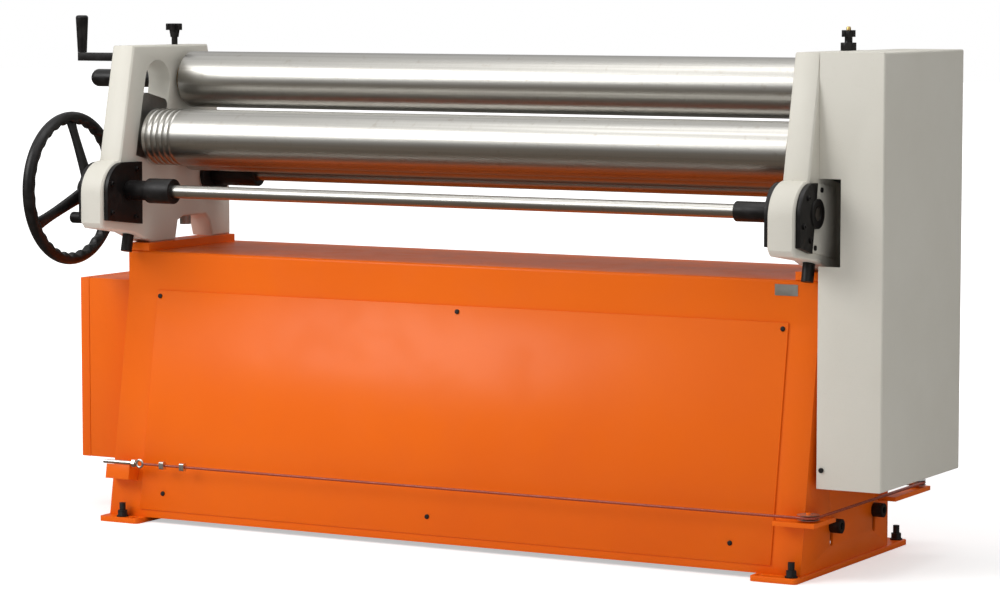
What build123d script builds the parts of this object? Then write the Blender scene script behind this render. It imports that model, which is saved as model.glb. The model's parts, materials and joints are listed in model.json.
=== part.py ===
"""Slip roll machine: a floor-standing powered sheet-rolling machine with three rolls.

Millimetres, +Z up, -Y towards the operator, +X towards the gear cover. The origin is on the
floor, at the middle of the four floor-bolt holes.
"""

from build123d import *
from math import atan2, cos, degrees, radians, sin
import os

os.makedirs("parts", exist_ok=True)

# ---------------------------------------------------------------- driving dimensions

# Stand: folded sheet, open below, on two foot plates
STAND_HALF = 735.0
STAND_TOP = 521.0
STAND_SHEET = 5.0
STAND_REAR = 168.0
LIP_Y = -150.0
LIP_H = 74.0
TOE_Y = -222.0
BEND_R = 6.0

FOOT_T = 10.0
FOOT_W = 90.0
FOOT_OVER = 5.0
FOOT_HALF_Y = 252.0
BOLT_INSET = 14.0
BOLT_Y = 236.0
BOLT_HOLE_R = 7.0
LEVEL_INSETS = (45.0, 16.0)
LEVEL_STUD_R = 6.0
LEVEL_NUT_R = 10.0
LEVEL_UP = 27.0

PANEL_END_LEFT = 70.0
PANEL_END_RIGHT = 57.0
PANEL_TOP = 2.0
PANEL_HEIGHT = 426.0
PANEL_T = 3.0
PANEL_MARGIN = 22.0
PANEL_SCREW_R = 4.5

# Adjustment slots in the stand's right end, each with its bolt above
END_SLOT_W = 13.0
END_SLOT_BOTTOM = 45.0
SLOT_BOLTS = ((-88.0, 82.0), (103.0, 85.0))
SLOT_BOLT_R = 13.0
SLOT_BOLT_L = 20.0

# End housings
HOUSING_OVER = 13.0
HOUSING_T = 50.0
HOUSING_RISE = 68.0
HOUSING_EDGE = 3.0
HOUSING_FRONT = -179.0
HOUSING_CREST = 75.0
HOUSING_REAR = 151.0
SHOULDER_H = 91.0
PAD_T = 15.0
PAD_LEDGE = 10.0
NOSE_R = 63.0
NOSE_FRONT = -291.0
NOSE_H = 164.0
ARCH_H = 45.0

# Rolls
ROLL_R = 55.0
ROLL_END_GAP = 15.0
SHEET_GAP = 15.0
LOWER_ROLL_H = 191.0
FRONT_Y = -125.0
FRONT_ROLL_H = 207.0
JOURNAL_R = 26.0
NECK_R = 34.0
NECK_LEN = 7.0
GROOVE_PITCH = 13.0
GROOVE_START = 12.0
GROOVE_R = 4.0
GROOVES = 5
RUN_GAP = 0.05
BUSH_R = 36.0

# Slides
SLOT_TILT = 13.0
SLOT_W = 83.0
SLOT_BOTTOM = 45.3
BLOCK_GAP = 0.3
BLOCK_BELOW = 45.0
BLOCK_ABOVE = 81.0
BLOCK_CORNER = 12.0
FRONT_TRAVEL = 44.0
WINDOW_HALF = 40.0
LOWER_BELOW = 43.0
LOWER_ABOVE = 38.0
LOWER_TRAVEL = 8.0

# Jack screws, their nuts and the two cross shafts
JACK_R = 11.0
JACK_END = 228.0
NUT_R = 21.0
NUT_H = 26.0
GEAR_W = 38.0
POCKET_GAP = 1.5
CROSS_Y = -213.0
CROSS_H = 107.0
REAR_Y = 90.0
REAR_H = 126.0
SHAFT_R = 12.5
LOWER_JACK_Y = 27.0
LOWER_JACK_H = 26.0
COLLAR_LEFT = (48.0, 19.0)
COUPLING_LEFT = (57.0, 24.0)
COLLAR_RIGHT = (84.0, 18.0)
REAR_COUPLING_R = 24.0
REAR_COUPLING_L = 100.0

# Bearing plates on the noses
PLATE_T = 9.0
PLATE_R = 55.0
PLATE_EDGE = 8.0
PLATE_REAR = -168.0
PLATE_FRONT_H = 52.0
PLATE_REAR_H = 39.0
BOSS_R = 26.0
BOSS_T = 3.0
REAR_PLATE_R = 47.0

# Drive inside the gear cover
GEAR_GAP = 14.0
GEAR_FACE = 38.0
GEAR_STUB = 3.0
GEAR_SEAT_R = 22.0
ROLL_TEETH = 15
GEAR_ROOT = 51.5
GEAR_TIP = 64.5
PINION_TEETH = 12
PINION_Y = 108.0
PINION_ROOT = 42.0
PINION_TIP = 54.0
PINION_SHAFT_R = 12.0
PINION_PHASE = 187.5
TOOTH_ROOT = 10.0
TOOTH_TIP = 5.0
GEARBOX_GAP = 3.0
GEARBOX_W = 56.0
GEARBOX_HALF = 46.0
MOTOR_R = 44.0
MOTOR_SHIFT = 14.0
MOTOR_DROP = 62.0
SHELF_H = 16.0
SHELF_LEG = 53.0
SHELF_T = 12.0
SHELF_HALF = 40.0

# Gear cover
COVER_GAP = 6.0
COVER_FRONT = -186.0
COVER_REAR = 177.0
COVER_BOTTOM = 161.0
COVER_OVER = 1.0
COVER_SHEET = 2.5
NOTCH_W = 41.0
NOTCH_LOW = 14.0
NOTCH_HIGH = 166.0
COVER_SCREW = (9.0, 33.0)
GUARD_T = 3.0
GUARD_CORNERS = ((-208.0, 160.5), (-118.0, 148.0), (-118.0, 22.0), (-229.0, 44.0))
GUARD_SCREWS = ((-182.0, 146.5), (-208.5, 47.5))
SMALL_SCREW_R = 4.5
SMALL_SCREW_H = 2.5

# Handwheel, crank, grip and knobs
WHEEL_R = 137.0
WHEEL_DISH = 25.0
RIM_RADIAL = 11.5
RIM_AXIAL = 13.0
WHEEL_HUB_GAP = 3.0
WHEEL_HUB_L = 40.0
WHEEL_HUB_R = 25.0
SPOKE_W = 18.0
SPOKE_ANGLES = (90, 210, 330)
LOCK_Y = -262.0
LOCK_H = 54.0
LOCK_R = 11.0
LOCK_LEN = 40.0
GRIP_R = 17.5
GRIP_REACH = 177.0
GRIP_GAP = 12.0
CRANK_OUT = 12.0
CRANK_Y = -132.0
CRANK_DROP = 31.0
CRANK_ARM = 95.0
CRANK_T = 16.0
CRANK_PIN_R = 6.0
CRANK_ARM_W = 18.0
CRANK_BRACKET_H = 27.0
CRANK_BRACKET_W = 24.0
CRANK_BRACKET_WALL = 4.0
CRANK_GRIP_PIN = 4.0
CRANK_GRIP_H = 73.0
CRANK_GRIP_R0 = 9.0
CRANK_GRIP_R1 = 12.5
KNOB_Y = -5.0
KNOB_STEM_R = 6.0
KNOB_SEAT = 12.0
KNOB_R = 17.0
KNOB_STEM = 14.5
KNOB_HUB_H = 14.0
KNOB_HUB_R = 8.0
KNOB_HUB_TAPER = -9.0
KNOB_LOBES = 5
KNOB_LOBE_R = 6.0
KNOB_DISC_H = 13.0
SCREW_KNOB_R = 14.0
SCREW_NECK = (7.0, 10.0)
SCREW_HEAD = (10.0, 12.0)
SCREW_TIP = (2.5, 6.0)

# Electrical cabinet
CAB_DEPTH = 133.0
CAB_FRONT = -100.0
CAB_REAR = 150.0
CAB_BOTTOM = 100.0
CAB_DROP = 63.0
CAB_SHEET = 2.5
DOOR_T = 22.0
DOOR_GAP = 0.8
DOOR_LOCK_R = 9.0
HINGE_OUT = 6.0
HINGE_PIN_R = 3.0
HINGE_LUG_R = 5.5
HINGE_LUG_H = 15.0
HINGE_EAR = 9.0
HINGE_END = 70.0

# Trip rope
ROPE_R = 2.5
ROPE_Y = -238.0
ROPE_Z = 116.0
ROPE_OVER = 31.0
ROPE_REAR = 282.0
PULLEY_R = 20.0
PULLEY_GROOVE = 14.2
PULLEY_T = 9.0
ROPE_WRAP = 17.0
PULLEY_PIN_R = 4.0
BRACKET_T = 8.0
BRACKET_LEFT_W = 54.0
BRACKET_LEFT_INSET = 6.0
BRACKET_LEFT_H = 28.0
BRACKET_LEFT_DROP = 24.0
BRACKET_LEFT_T = 34.0
BRACKET_RIGHT_W = 45.0
BRACKET_REAR_Y = 120.0
EYE_INSET = 83.0
EYE_R = 7.0
EYE_SHANK = 84.0
EYE_NUT_GAP = 16.0
CLIP_GAPS = (48.0, 95.0)
SWITCH_INSET = 115.0
SWITCH_L = 70.0
SWITCH_W = 34.0
SWITCH_H = 44.0
BLANK_INSET = 63.0

# ---------------------------------------------------------------- places that follow

LIP_Z = STAND_TOP - LIP_H
FOOT_OUT = STAND_HALF + FOOT_OVER
FOOT_IN = FOOT_OUT - FOOT_W
BOLT_X = FOOT_IN + BOLT_INSET
LEVEL_XS = (LEVEL_INSETS[0] - FOOT_OUT, FOOT_OUT - LEVEL_INSETS[1])
PANEL_LEFT = PANEL_END_LEFT - STAND_HALF
PANEL_RIGHT = STAND_HALF - PANEL_END_RIGHT
HOUSING_OUT = STAND_HALF + HOUSING_OVER
HOUSING_IN = HOUSING_OUT - HOUSING_T
HOUSING_MID = HOUSING_IN + HOUSING_T / 2
HOUSING_BASE = STAND_TOP + PAD_T
NOSE_TOP = HOUSING_BASE + NOSE_H
PAD_IN = HOUSING_IN - PAD_LEDGE
ROLL_FACE = HOUSING_IN - ROLL_END_GAP
LOWER_Z = HOUSING_BASE + LOWER_ROLL_H
TOP_Z = LOWER_Z + 2 * ROLL_R + SHEET_GAP
HOUSING_TOP = TOP_Z + HOUSING_RISE
FRONT_Z = HOUSING_BASE + FRONT_ROLL_H
CROSS_Z = HOUSING_BASE + CROSS_H
REAR_Z = HOUSING_BASE + REAR_H
LOWER_JACK_END = HOUSING_BASE + LOWER_JACK_H
COLLAR_END = HOUSING_IN - PLATE_T - 1
GEAR_X = HOUSING_OUT + GEAR_GAP
GEAR_END = GEAR_X + GEAR_FACE + GEAR_STUB
GEARBOX_X = GEAR_END + GEARBOX_GAP
MOTOR_X = GEARBOX_X + MOTOR_SHIFT
MOTOR_FOOT = HOUSING_BASE + SHELF_H
MOTOR_TOP = TOP_Z - MOTOR_DROP
COVER_OUT = MOTOR_X + MOTOR_R + COVER_GAP
COVER_TOP = HOUSING_TOP + COVER_OVER
WHEEL_HUB_IN = HOUSING_OUT + PLATE_T + WHEEL_HUB_GAP
WHEEL_HUB_OUT = WHEEL_HUB_IN + WHEEL_HUB_L
WHEEL_X = WHEEL_HUB_OUT + WHEEL_DISH
LOCK_Z = HOUSING_BASE + LOCK_H
GRIP_TIP = HOUSING_OUT + GRIP_REACH
CRANK_X = HOUSING_OUT + CRANK_OUT
CRANK_Z = HOUSING_TOP - CRANK_DROP
CAB_OUT = STAND_HALF + CAB_DEPTH
CAB_TOP = STAND_TOP - CAB_DROP
HINGE_Y = CAB_REAR + HINGE_LUG_R + 0.5
HINGE_ZS = (CAB_BOTTOM + HINGE_END, CAB_TOP - HINGE_END)
ROPE_X = STAND_HALF + ROPE_OVER
EYE_X = EYE_INSET - STAND_HALF
SWITCH_X = SWITCH_INSET - STAND_HALF

# ---------------------------------------------------------------- shared values and helpers

TILT_S = sin(radians(SLOT_TILT))
TILT_C = cos(radians(SLOT_TILT))
SIDES = (("left", -1), ("right", 1))

# The slot's round top just clears the block's corners at the end of its travel
corner_out = SLOT_W / 2 - BLOCK_GAP - BLOCK_CORNER
corner_up = BLOCK_ABOVE + FRONT_TRAVEL - BLOCK_CORNER
SLOT_ROUND = corner_up - ((SLOT_W / 2 - BLOCK_GAP / 2 - BLOCK_CORNER) ** 2 - corner_out**2) ** 0.5


def save(piece, name):
    """Label a finished piece and write its STEP file."""
    piece.part.label = name
    export_step(piece.part, f"parts/{name}.step")
    print(f"{name:24s} {piece.part.volume / 1000:10.1f} cm3 {len(piece.part.solids())} solids")


def slide_plane(x):
    """Plane across X at the front roll, its y axis up along the tilted slot."""
    return Plane(origin=(x, FRONT_Y, FRONT_Z), x_dir=(0, TILT_C, -TILT_S), z_dir=(1, 0, 0))


def jack_plane(x, below=0.0):
    """Plane square to the tilted slot's axis, a distance below the front roll's axis."""
    middle = (x, FRONT_Y - below * TILT_S, FRONT_Z - below * TILT_C)
    return Plane(origin=middle, x_dir=(1, 0, 0), z_dir=(0, TILT_S, TILT_C))


def cross_plane(x, y, z):
    """Plane square to X at a point, its x axis along Y and its y axis up."""
    return Plane(origin=(x, y, z), x_dir=(0, 1, 0), z_dir=(1, 0, 0))


# The jack nuts sit where the line between shaft and screw is square to the screw
front_nut_below = (FRONT_Z - CROSS_Z) * TILT_C + (FRONT_Y - CROSS_Y) * TILT_S

# ---------------------------------------------------------------- stand

lip_run = LIP_Y - TOE_Y
lip_drop = LIP_Z - FOOT_T
slope = degrees(atan2(lip_run, lip_drop))
slope_s = sin(radians(slope))
slope_c = cos(radians(slope))
front_plane = Plane(origin=(0, LIP_Y, LIP_Z), x_dir=(1, 0, 0), z_dir=(0, -slope_c, slope_s))
panel_mid_x = (PANEL_LEFT + PANEL_RIGHT) / 2
panel_mid_y = -PANEL_TOP - PANEL_HEIGHT / 2
panel_width = PANEL_RIGHT - PANEL_LEFT

with BuildPart() as stand_body:
    with BuildSketch(Plane.YZ.offset(-STAND_HALF)):
        with BuildLine():
            Polyline(
                (TOE_Y, FOOT_T),
                (LIP_Y, LIP_Z),
                (LIP_Y, STAND_TOP),
                (STAND_REAR, STAND_TOP),
                (STAND_REAR, FOOT_T),
                close=True,
            )
        make_face()
    extrude(amount=2 * STAND_HALF)
    top_front = stand_body.edges().filter_by(Axis.X).group_by(Axis.Z)[-1].sort_by(Axis.Y)[0]
    fillet(top_front, radius=BEND_R)
    with BuildSketch(Plane.YZ.offset(-STAND_HALF + STAND_SHEET)):
        with BuildLine():
            Polyline(
                (TOE_Y + STAND_SHEET, FOOT_T),
                (LIP_Y + STAND_SHEET, LIP_Z),
                (LIP_Y + STAND_SHEET, STAND_TOP - STAND_SHEET - BEND_R / 2),
                (LIP_Y + STAND_SHEET + BEND_R / 2, STAND_TOP - STAND_SHEET),
                (STAND_REAR - STAND_SHEET, STAND_TOP - STAND_SHEET),
                (STAND_REAR - STAND_SHEET, FOOT_T),
                close=True,
            )
        make_face()
    extrude(amount=2 * (STAND_HALF - STAND_SHEET), mode=Mode.SUBTRACT)
    with BuildSketch(front_plane):
        with Locations((panel_mid_x, panel_mid_y)):
            Rectangle(panel_width - 2 * PANEL_MARGIN, PANEL_HEIGHT - 2 * PANEL_MARGIN)
    extrude(amount=-2 * STAND_SHEET, mode=Mode.SUBTRACT)
    for y, z in SLOT_BOLTS:
        slot_l = z - END_SLOT_BOTTOM
        with BuildSketch(cross_plane(STAND_HALF - STAND_SHEET, y, z - slot_l / 2)):
            SlotOverall(slot_l, END_SLOT_W, rotation=90)
        extrude(amount=STAND_SHEET, mode=Mode.SUBTRACT)
save(stand_body, "stand_body")

upper_y = -PANEL_TOP - PANEL_MARGIN / 2
lower_y = -PANEL_TOP - PANEL_HEIGHT + 1.5 * PANEL_MARGIN
panel_screw_spots = (
    (PANEL_LEFT + 7, upper_y),
    (8, upper_y),
    (PANEL_RIGHT - 10, upper_y),
    (PANEL_LEFT + 52, lower_y),
    (-21, lower_y),
    (PANEL_RIGHT - 81, lower_y),
)

with BuildPart() as front_panel:
    with BuildSketch(front_plane):
        with Locations((panel_mid_x, panel_mid_y)):
            Rectangle(panel_width, PANEL_HEIGHT)
    extrude(amount=PANEL_T)
save(front_panel, "front_panel")

with BuildPart() as panel_screws:
    with BuildSketch(front_plane.offset(PANEL_T)):
        with Locations(*panel_screw_spots):
            Circle(PANEL_SCREW_R)
    extrude(amount=PANEL_SCREW_R / 2)
    fillet(panel_screws.faces().group_by(Axis(front_plane.origin, front_plane.z_dir))[-1].edges(), 1.0)
save(panel_screws, "panel_screws")

for side, sign in SIDES:
    with BuildPart() as foot_plate:
        with BuildSketch():
            with Locations((sign * (FOOT_IN + FOOT_OUT) / 2, 0)):
                RectangleRounded(FOOT_OUT - FOOT_IN, 2 * FOOT_HALF_Y, 8)
            with Locations((sign * BOLT_X, BOLT_Y), (sign * BOLT_X, -BOLT_Y)):
                Circle(BOLT_HOLE_R, mode=Mode.SUBTRACT)
            level_x = LEVEL_XS[0] if sign < 0 else LEVEL_XS[1]
            with Locations((level_x, BOLT_Y), (level_x, -BOLT_Y)):
                Circle(LEVEL_STUD_R + RUN_GAP, mode=Mode.SUBTRACT)
        extrude(amount=FOOT_T)
    save(foot_plate, f"foot_plate_{side}")

with BuildPart() as levelling_screws:
    for x in LEVEL_XS:
        for y in (-BOLT_Y, BOLT_Y):
            with BuildSketch(Plane.XY):
                with Locations((x, y)):
                    Circle(LEVEL_STUD_R)
            extrude(amount=FOOT_T + LEVEL_UP)
            with BuildSketch(Plane.XY.offset(FOOT_T)):
                with Locations((x, y)):
                    Circle(LEVEL_NUT_R + 1.5)
            extrude(amount=2.5)
            with BuildSketch(Plane.XY.offset(FOOT_T + 2.5)):
                with Locations((x, y)):
                    RegularPolygon(LEVEL_NUT_R, 6)
            extrude(amount=10)
save(levelling_screws, "levelling_screws")

with BuildPart() as housing_pads:
    pad_rear = HOUSING_REAR + 1
    pad_mid_y = (LIP_Y + 1 + pad_rear) / 2
    pad_len = pad_rear - LIP_Y - 1
    with BuildSketch(Plane.XY.offset(STAND_TOP)):
        for sign in (-1, 1):
            with Locations((sign * (PAD_IN + STAND_HALF) / 2, pad_mid_y)):
                Rectangle(STAND_HALF - PAD_IN, pad_len)
    extrude(amount=PAD_T)
save(housing_pads, "housing_pads")

# ---------------------------------------------------------------- end housings

nut_y = FRONT_Y - front_nut_below * TILT_S
nut_z = FRONT_Z - front_nut_below * TILT_C
front_gear_r = ((nut_y - CROSS_Y) ** 2 + (nut_z - CROSS_Z) ** 2) ** 0.5 - NUT_R - 0.4
rear_gear_r = REAR_Y - LOWER_JACK_Y - NUT_R - 0.4
block_half = SLOT_W / 2 - BLOCK_GAP
lower_top = LOWER_Z + LOWER_ABOVE + LOWER_TRAVEL + BLOCK_GAP
lower_bottom = LOWER_Z - LOWER_BELOW - BLOCK_GAP

for side, sign in SIDES:
    inner = HOUSING_IN if sign > 0 else -HOUSING_OUT
    middle = sign * HOUSING_MID
    with BuildPart() as housing:
        with BuildSketch(Plane.YZ.offset(inner)):
            with BuildLine():
                nose_y = NOSE_FRONT + NOSE_R
                Polyline((HOUSING_CREST, HOUSING_TOP), (HOUSING_FRONT, HOUSING_TOP), (nose_y, NOSE_TOP))
                RadiusArc((nose_y, NOSE_TOP), (NOSE_FRONT, NOSE_TOP - NOSE_R), -NOSE_R)
                Polyline(
                    (NOSE_FRONT, NOSE_TOP - NOSE_R),
                    (NOSE_FRONT, HOUSING_BASE + 47),
                    (NOSE_FRONT + 10, HOUSING_BASE + 36),
                    (HOUSING_FRONT - 5, HOUSING_BASE + 22),
                    (HOUSING_FRONT + 55, HOUSING_BASE),
                    (-42, HOUSING_BASE),
                    (-33, HOUSING_BASE + ARCH_H - 7),
                    (-14, HOUSING_BASE + ARCH_H),
                    (62, HOUSING_BASE + ARCH_H),
                    (77, HOUSING_BASE + ARCH_H - 14),
                    (87, HOUSING_BASE),
                    (HOUSING_REAR, HOUSING_BASE),
                    (HOUSING_REAR, HOUSING_BASE + SHOULDER_H),
                    (HOUSING_CREST, HOUSING_TOP),
                )
            make_face()
        extrude(amount=HOUSING_T)
        faces_x = housing.faces().filter_by(Axis.X)
        chamfer(faces_x.edges(), HOUSING_EDGE)
        with BuildSketch(slide_plane(inner)):
            with Locations((0, (SLOT_ROUND - SLOT_BOTTOM) / 2)):
                Rectangle(SLOT_W, SLOT_ROUND + SLOT_BOTTOM)
            with Locations((0, SLOT_ROUND)):
                Circle(SLOT_W / 2)
        extrude(amount=HOUSING_T, mode=Mode.SUBTRACT)
        with BuildSketch(Plane.YZ.offset(inner)):
            with Locations((0, (lower_top + lower_bottom) / 2)):
                Rectangle(2 * WINDOW_HALF, lower_top - lower_bottom)
            with Locations((0, TOP_Z)):
                Circle(BUSH_R + RUN_GAP)
            with Locations((CROSS_Y, CROSS_Z)):
                Circle(front_gear_r + POCKET_GAP)
            with Locations((REAR_Y, REAR_Z)):
                Circle(rear_gear_r + POCKET_GAP)
        extrude(amount=HOUSING_T, mode=Mode.SUBTRACT)
        with BuildSketch(jack_plane(middle, JACK_END)):
            Circle(JACK_R + BLOCK_GAP)
        extrude(amount=JACK_END - SLOT_BOTTOM + 1, mode=Mode.SUBTRACT)
        with BuildSketch(jack_plane(middle, front_nut_below + NUT_H / 2 + BLOCK_GAP)):
            Circle(NUT_R + POCKET_GAP)
        extrude(amount=NUT_H + 2 * BLOCK_GAP, mode=Mode.SUBTRACT)
        with BuildSketch(Plane.XY.offset(LOWER_JACK_END)):
            with Locations((middle, LOWER_JACK_Y)):
                Circle(JACK_R + BLOCK_GAP)
        extrude(amount=lower_bottom - LOWER_JACK_END + 1, mode=Mode.SUBTRACT)
        with BuildSketch(Plane.XY.offset(REAR_Z - NUT_H / 2 - BLOCK_GAP)):
            with Locations((middle, LOWER_JACK_Y)):
                Circle(NUT_R + POCKET_GAP)
        extrude(amount=NUT_H + 2 * BLOCK_GAP, mode=Mode.SUBTRACT)
        with BuildSketch(Plane.XY.offset(HOUSING_TOP)):
            with Locations((middle, KNOB_Y)):
                Circle(KNOB_STEM_R + RUN_GAP)
        extrude(amount=-KNOB_SEAT, mode=Mode.SUBTRACT)
    save(housing, f"housing_{side}")

    with BuildPart() as front_block:
        with BuildSketch(slide_plane(inner)):
            with BuildLine():
                FilletPolyline(
                    (-block_half, -BLOCK_BELOW),
                    (block_half, -BLOCK_BELOW),
                    (block_half, BLOCK_ABOVE),
                    (-block_half, BLOCK_ABOVE),
                    radius=[0.5, 0.5, BLOCK_CORNER, BLOCK_CORNER],
                    close=True,
                )
            make_face()
            Circle(JOURNAL_R + RUN_GAP, mode=Mode.SUBTRACT)
        extrude(amount=HOUSING_T)
    save(front_block, f"front_block_{side}")

    with BuildPart() as front_nut:
        with BuildSketch(jack_plane(middle, front_nut_below + NUT_H / 2)):
            Circle(NUT_R)
            Circle(JACK_R + RUN_GAP, mode=Mode.SUBTRACT)
        extrude(amount=NUT_H)
    save(front_nut, f"front_jack_nut_{side}")

    with BuildPart() as lower_block:
        with BuildSketch(Plane.YZ.offset(inner)):
            with Locations((0, LOWER_Z + (LOWER_ABOVE - LOWER_BELOW) / 2)):
                Rectangle(2 * (WINDOW_HALF - BLOCK_GAP), LOWER_ABOVE + LOWER_BELOW)
            with Locations((0, LOWER_Z)):
                Circle(JOURNAL_R + RUN_GAP, mode=Mode.SUBTRACT)
        extrude(amount=HOUSING_T)
    save(lower_block, f"lower_block_{side}")

    with BuildPart() as lower_nut:
        with BuildSketch(Plane.XY.offset(REAR_Z - NUT_H / 2)):
            with Locations((middle, LOWER_JACK_Y)):
                Circle(NUT_R)
                Circle(JACK_R + RUN_GAP, mode=Mode.SUBTRACT)
        extrude(amount=NUT_H)
    save(lower_nut, f"lower_jack_nut_{side}")

with BuildPart() as top_roll_bushes:
    for sign in (-1, 1):
        with BuildSketch(cross_plane(sign * HOUSING_MID - HOUSING_T / 2, 0, TOP_Z)):
            Circle(BUSH_R)
            Circle(JOURNAL_R + RUN_GAP, mode=Mode.SUBTRACT)
        extrude(amount=HOUSING_T)
save(top_roll_bushes, "top_roll_bushes")

with BuildPart() as front_jack_screws:
    for sign in (-1, 1):
        with BuildSketch(jack_plane(sign * HOUSING_MID, JACK_END)):
            Circle(JACK_R)
        extrude(amount=JACK_END - BLOCK_BELOW)
save(front_jack_screws, "front_jack_screws")

with BuildPart() as lower_jack_screws:
    for sign in (-1, 1):
        with BuildSketch(Plane.XY.offset(LOWER_JACK_END)):
            with Locations((sign * HOUSING_MID, LOWER_JACK_Y)):
                Circle(JACK_R)
        extrude(amount=LOWER_Z - LOWER_BELOW - LOWER_JACK_END)
save(lower_jack_screws, "lower_jack_screws")

# Black plates that close the gear pockets on both faces of each housing
plate_front = NOSE_FRONT + PLATE_EDGE
plate_rows = (
    (-HOUSING_OUT - PLATE_T, PLATE_REAR, PLATE_REAR),
    (-HOUSING_IN, PLATE_REAR, PLATE_REAR),
    (HOUSING_IN - PLATE_T, PLATE_REAR, PLATE_REAR),
    (HOUSING_OUT, GUARD_CORNERS[0][0] - 1, GUARD_CORNERS[3][0] - 2),
)
with BuildPart() as bearing_plates:
    for x, rear_high, rear_low in plate_rows:
        with BuildSketch(Plane.YZ.offset(x)):
            with BuildLine():
                FilletPolyline(
                    (plate_front, HOUSING_BASE + PLATE_FRONT_H),
                    (plate_front, NOSE_TOP - 2),
                    (rear_high, NOSE_TOP - 4),
                    (rear_low, HOUSING_BASE + PLATE_REAR_H),
                    radius=[1, min(PLATE_R, rear_high - plate_front - 2), 1, 1],
                    close=True,
                )
            make_face()
            with Locations((CROSS_Y, CROSS_Z)):
                Circle(SHAFT_R + RUN_GAP, mode=Mode.SUBTRACT)
        extrude(amount=PLATE_T)
    with BuildSketch(cross_plane(HOUSING_OUT, CROSS_Y, CROSS_Z)):
        Circle(BOSS_R)
        Circle(SHAFT_R + RUN_GAP, mode=Mode.SUBTRACT)
    extrude(amount=PLATE_T + BOSS_T)
    for sign in (-1, 1):
        for x in (HOUSING_IN - PLATE_T, HOUSING_OUT):
            with BuildSketch(cross_plane(x if sign > 0 else -x - PLATE_T, REAR_Y, REAR_Z)):
                Circle(REAR_PLATE_R)
                Circle(SHAFT_R + RUN_GAP, mode=Mode.SUBTRACT)
            extrude(amount=PLATE_T)
save(bearing_plates, "bearing_plates")

# ---------------------------------------------------------------- rolls

roll_rows = (
    ("top_roll", 0.0, TOP_Z, -HOUSING_OUT - 12, GEAR_END),
    ("lower_roll", 0.0, LOWER_Z, -HOUSING_OUT - 2, GEAR_END),
    ("front_roll", FRONT_Y, FRONT_Z, -HOUSING_OUT - 2, HOUSING_OUT + 2),
)
for name, y, z, left_end, right_end in roll_rows:
    with BuildPart() as roll:
        with BuildSketch(cross_plane(-ROLL_FACE, y, z)):
            Circle(ROLL_R)
        extrude(amount=2 * ROLL_FACE)
        chamfer(roll.edges().filter_by(GeomType.CIRCLE), 1.0)
        with BuildSketch(cross_plane(-ROLL_FACE - NECK_LEN, y, z)):
            Circle(NECK_R)
        extrude(amount=2 * (ROLL_FACE + NECK_LEN))
        with BuildSketch(cross_plane(left_end, y, z)):
            Circle(JOURNAL_R)
        extrude(amount=HOUSING_OUT + 2 - left_end)
        if right_end > HOUSING_OUT + 2:
            with BuildSketch(cross_plane(HOUSING_OUT, y, z)):
                Circle(GEAR_SEAT_R)
            extrude(amount=right_end - HOUSING_OUT)
        if name == "front_roll":
            for groove in range(GROOVES):
                x = -ROLL_FACE + GROOVE_START + groove * GROOVE_PITCH
                with BuildSketch(Plane.XY.offset(z)):
                    with Locations((x, y + ROLL_R)):
                        Circle(GROOVE_R)
                revolve(axis=Axis((0, y, z), (1, 0, 0)), mode=Mode.SUBTRACT)
    save(roll, name)

with BuildPart() as top_roll_grip:
    with BuildSketch(cross_plane(-GRIP_TIP, 0, TOP_Z)):
        Circle(GRIP_R)
    extrude(amount=GRIP_TIP - HOUSING_OUT - 12)
    fillet(top_roll_grip.edges().sort_by(Axis.X)[0], GRIP_R - 2)
save(top_roll_grip, "top_roll_grip")


def spur_gear(y, z, teeth, root_r, tip_r, first_angle, bore):
    """Spur gear on an axis along X: thin straight-sided teeth round a disc."""
    with BuildPart() as gear:
        with BuildSketch(cross_plane(GEAR_X, y, z)):
            Circle(root_r)
            with PolarLocations(0, teeth, start_angle=first_angle):
                Polygon(
                    (root_r - 2, -TOOTH_ROOT / 2),
                    (tip_r, -TOOTH_TIP / 2),
                    (tip_r, TOOTH_TIP / 2),
                    (root_r - 2, TOOTH_ROOT / 2),
                    align=None,
                )
            if bore > 0:
                Circle(bore, mode=Mode.SUBTRACT)
        extrude(amount=GEAR_FACE)
    return gear


half_pitch = 180 / ROLL_TEETH
top_gear = spur_gear(0, TOP_Z, ROLL_TEETH, GEAR_ROOT, GEAR_TIP, -90, GEAR_SEAT_R)
save(top_gear, "top_gear")

lower_gear = spur_gear(0, LOWER_Z, ROLL_TEETH, GEAR_ROOT, GEAR_TIP, 90 + half_pitch, GEAR_SEAT_R)
save(lower_gear, "lower_gear")

pinion_teeth = spur_gear(PINION_Y, TOP_Z, PINION_TEETH, PINION_ROOT, PINION_TIP, PINION_PHASE, 0)
with BuildPart() as drive_pinion:
    add(pinion_teeth.part)
    with BuildSketch(cross_plane(GEAR_X - 4, PINION_Y, TOP_Z)):
        Circle(PINION_SHAFT_R)
    extrude(amount=GEARBOX_X + GEARBOX_W - 6 - GEAR_X + 4)
save(drive_pinion, "drive_pinion")

# ---------------------------------------------------------------- cross shafts

with BuildPart() as front_cross_shaft:
    with BuildSketch(cross_plane(-WHEEL_HUB_OUT, CROSS_Y, CROSS_Z)):
        Circle(SHAFT_R)
    extrude(amount=WHEEL_HUB_OUT + HOUSING_OUT + PLATE_T + BOSS_T / 2)
save(front_cross_shaft, "front_cross_shaft")

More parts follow.
